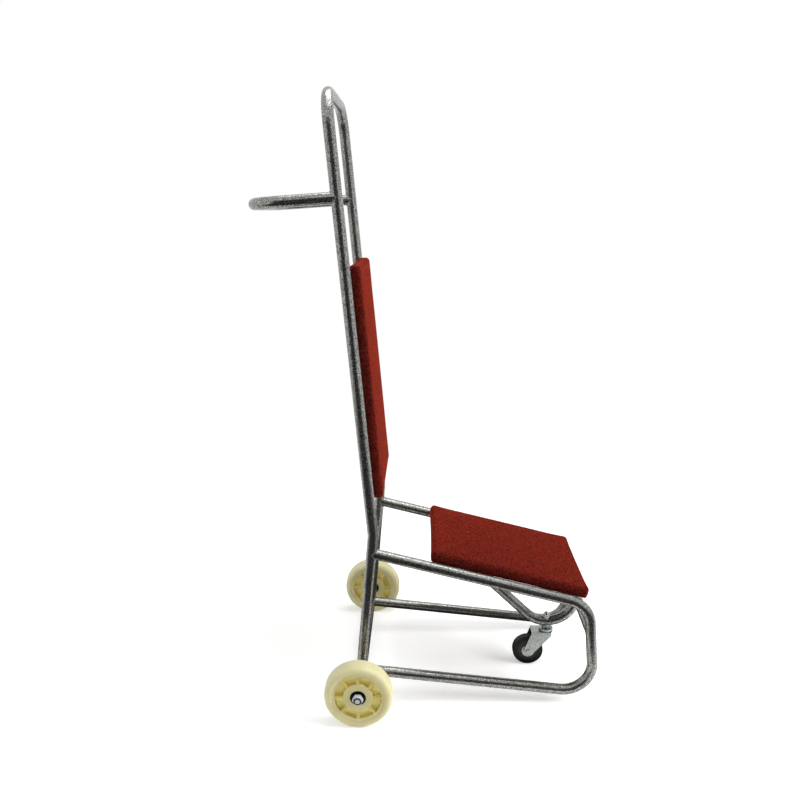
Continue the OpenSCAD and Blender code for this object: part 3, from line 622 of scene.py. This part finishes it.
# %% Blocks for the pads
square_mm, edge_r, corner_r, draw_in = 6.0, 7.5 * MM, 9 * MM, 2.0 * MM
crown, board_border, board_gap, hem_up, hem_in = 4 * MM, 6.7 * MM, 0.3 * MM, 1 * MM, 2.5 * MM
least_square, tiny = 2 * MM, 0.01 * MM


def own_box(name, along, face):
    """Lowest and highest corner of a node in a pad's directions: along it, across it and out of its face."""
    axes = Matrix((along, sideways, face))
    corners = np.array([axes @ v.co for v in nodes[name].data.vertices])
    return axes, corners.min(0), corners.max(0)


def rounded(p, half, top):
    """Moves a point of the block onto its rounded edges and corners, and draws the sides and the hem in."""
    size = [abs(p.x), abs(p.y), p.z]
    limit = [half[0] - edge_r, half[1] - edge_r, top - edge_r]
    over = Vector([max(s - m, 0) for s, m in zip(size, limit)])
    if over.length > 0:
        over *= max(over) / over.length
    size = [min(s, m) + o for s, m, o in zip(size, limit, over)]
    plan = Vector((max(size[0] - half[0] + corner_r, 0), max(size[1] - half[1] + corner_r, 0)))
    if plan.length > 0:
        plan *= max(plan) / plan.length
        size[0] = min(size[0], half[0] - corner_r) + plan.x
        size[1] = min(size[1], half[1] - corner_r) + plan.y
    if p.z < hem_up:
        size[:2] = [min(s, h - hem_in) for s, h in zip(size, half)]
    pull = [draw_in * (1 - (size[1] / half[1]) ** 2) * size[0] / half[0],
            draw_in * (1 - (size[0] / half[0]) ** 2) * size[1] / half[1]]
    return Vector((math.copysign(size[0] - pull[0], p.x), math.copysign(size[1] - pull[1], p.y), size[2]))


def stops(half, tray):
    """Cutting places along one side of the block: even squares, and the rim of the tray."""
    count = round(2 * half / (square_mm * MM))
    even = [half * (2 * i / count - 1) for i in range(1, count)]
    return [s for s in even if abs(abs(s) - tray) > least_square] + [-tray, tray]


def pad_block(name, half, top, depth):
    """A closed block in the pad's own directions, its underside at zero, with a tray depth deep below."""
    tray = [h - board_border for h in half]
    bm = bmesh.new()
    bmesh.ops.create_cube(bm, size=1)
    for v in bm.verts:
        v.co = Vector((v.co.x * 2 * half[0], v.co.y * 2 * half[1], (v.co.z + 0.5) * top))
    cuts = [((1, 0, 0), (s, 0, 0)) for s in stops(half[0], tray[0])]
    cuts += [((0, 1, 0), (0, s, 0)) for s in stops(half[1], tray[1])]
    layers = max(3, round(top / (square_mm * MM)))
    cuts += [((0, 0, 1), (0, 0, top * i / layers)) for i in range(1, layers)]
    for normal, place in cuts:
        everything = bm.verts[:] + bm.edges[:] + bm.faces[:]
        bmesh.ops.bisect_plane(bm, geom=everything, dist=1e-6, plane_co=place, plane_no=normal)
    for v in bm.verts:
        under_board = v.co.z < tiny and abs(v.co.x) < tray[0] + tiny and abs(v.co.y) < tray[1] + tiny
        if not under_board:
            v.co = rounded(v.co, half, top)
    floor_faces = [f for f in bm.faces if all(
        v.co.z < tiny and abs(v.co.x) < tray[0] + tiny and abs(v.co.y) < tray[1] + tiny for v in f.verts)]
    raised = bmesh.ops.extrude_face_region(bm, geom=floor_faces)
    for v in raised["geom"]:
        if isinstance(v, bmesh.types.BMVert):
            v.co.z += depth
    bmesh.ops.delete(bm, geom=floor_faces, context="FACES")
    bmesh.ops.recalc_face_normals(bm, faces=bm.faces)
    crease = bm.edges.layers.float.new("crease_edge")
    for edge in bm.edges:
        rim = [abs(abs(v.co.x) - tray[0]) < tiny or abs(abs(v.co.y) - tray[1]) < tiny for v in edge.verts]
        low = [v.co.z < depth + tiny and abs(v.co.x) < tray[0] + tiny and abs(v.co.y) < tray[1] + tiny
               for v in edge.verts]
        if all(rim) and all(low) and edge.calc_face_angle(0) > sharp:
            edge[crease] = 1
    mesh = bpy.data.meshes.new(name)
    bm.to_mesh(mesh)
    bm.free()
    mesh.shade_smooth()
    pad = bpy.data.objects.new(name, mesh)
    scene.collection.objects.link(pad)
    return pad


# %% [markdown]
# The swelling is Blender's Cloth with pressure and no gravity. Points of the underside and of the tray
# are pinned. After twenty frames each point's move is read back, and all moves are scaled
# so that the largest is the crown, which keeps the shape that the cloth found.

# %% Swelling a pad
frames = 20


def swell(pad, depth):
    """Blows the skin up, with its underside and the top of its tray, depth high, held."""
    mesh = pad.data
    rest = np.array([v.co for v in mesh.vertices])
    held = pad.vertex_groups.new(name="stapled")
    low_or_tray = (rest[:, 2] < hem_up) | (abs(rest[:, 2] - depth) < tiny)
    held.add(np.flatnonzero(low_or_tray).tolist(), 1.0, "REPLACE")
    cloth = pad.modifiers.new("cloth", "CLOTH")
    cloth.settings.quality = 5
    cloth.settings.mass = 0.3
    cloth.settings.tension_stiffness = cloth.settings.compression_stiffness = 30
    cloth.settings.shear_stiffness, cloth.settings.bending_stiffness = 10, 2
    cloth.settings.use_pressure, cloth.settings.uniform_pressure_force = True, 4
    cloth.settings.vertex_group_mass = held.name
    cloth.settings.effector_weights.gravity = 0
    for step in range(1, frames + 1):
        scene.frame_set(step)
    grown = pad.evaluated_get(bpy.context.evaluated_depsgraph_get()).data
    move = np.array([v.co for v in grown.vertices]) - rest
    pad.modifiers.remove(cloth)
    pad.vertex_groups.clear()
    scene.frame_set(1)
    largest = np.linalg.norm(move, axis=1).max()
    mesh.vertices.foreach_set("co", (rest + move * min(1, crown / largest)).astype(np.float32).ravel())
    mesh.update()
    return largest


def padded_rest(name, node, board, along, face, weave):
    axes, low, high = own_box(node, along, face)
    board_high = own_box(board, along, face)[2]
    half = [(high[0] - low[0]) / 2, (high[1] - low[1]) / 2]
    top = high[2] - low[2] - crown
    depth = board_high[2] - low[2] + board_gap
    pad = pad_block(name, half, top, depth)
    print(name, "swelled by", round(swell(pad, depth) / MM, 1), "mm before scaling")
    middle = Vector(((low[0] + high[0]) / 2, (low[1] + high[1]) / 2, low[2]))
    pad.data.transform(Matrix.Translation(middle))
    pad.data.transform(axes.transposed().to_4x4())
    smooth = pad.modifiers.new("smooth", "SUBSURF")
    smooth.levels = smooth.render_levels = 1
    pad.data.materials.append(weave)
    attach(pad, "frame")
    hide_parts(node)
    print("pad", name, "size", [round(v, 3) for v in high - low])
    return pad


back_rest = padded_rest("back_rest", "back_pad", "back_board", upright_dir, upright_face, back_weave)
seat_rest = padded_rest("seat_rest", "seat_pad", "seat_board", rail_dir, rail_face, seat_weave)
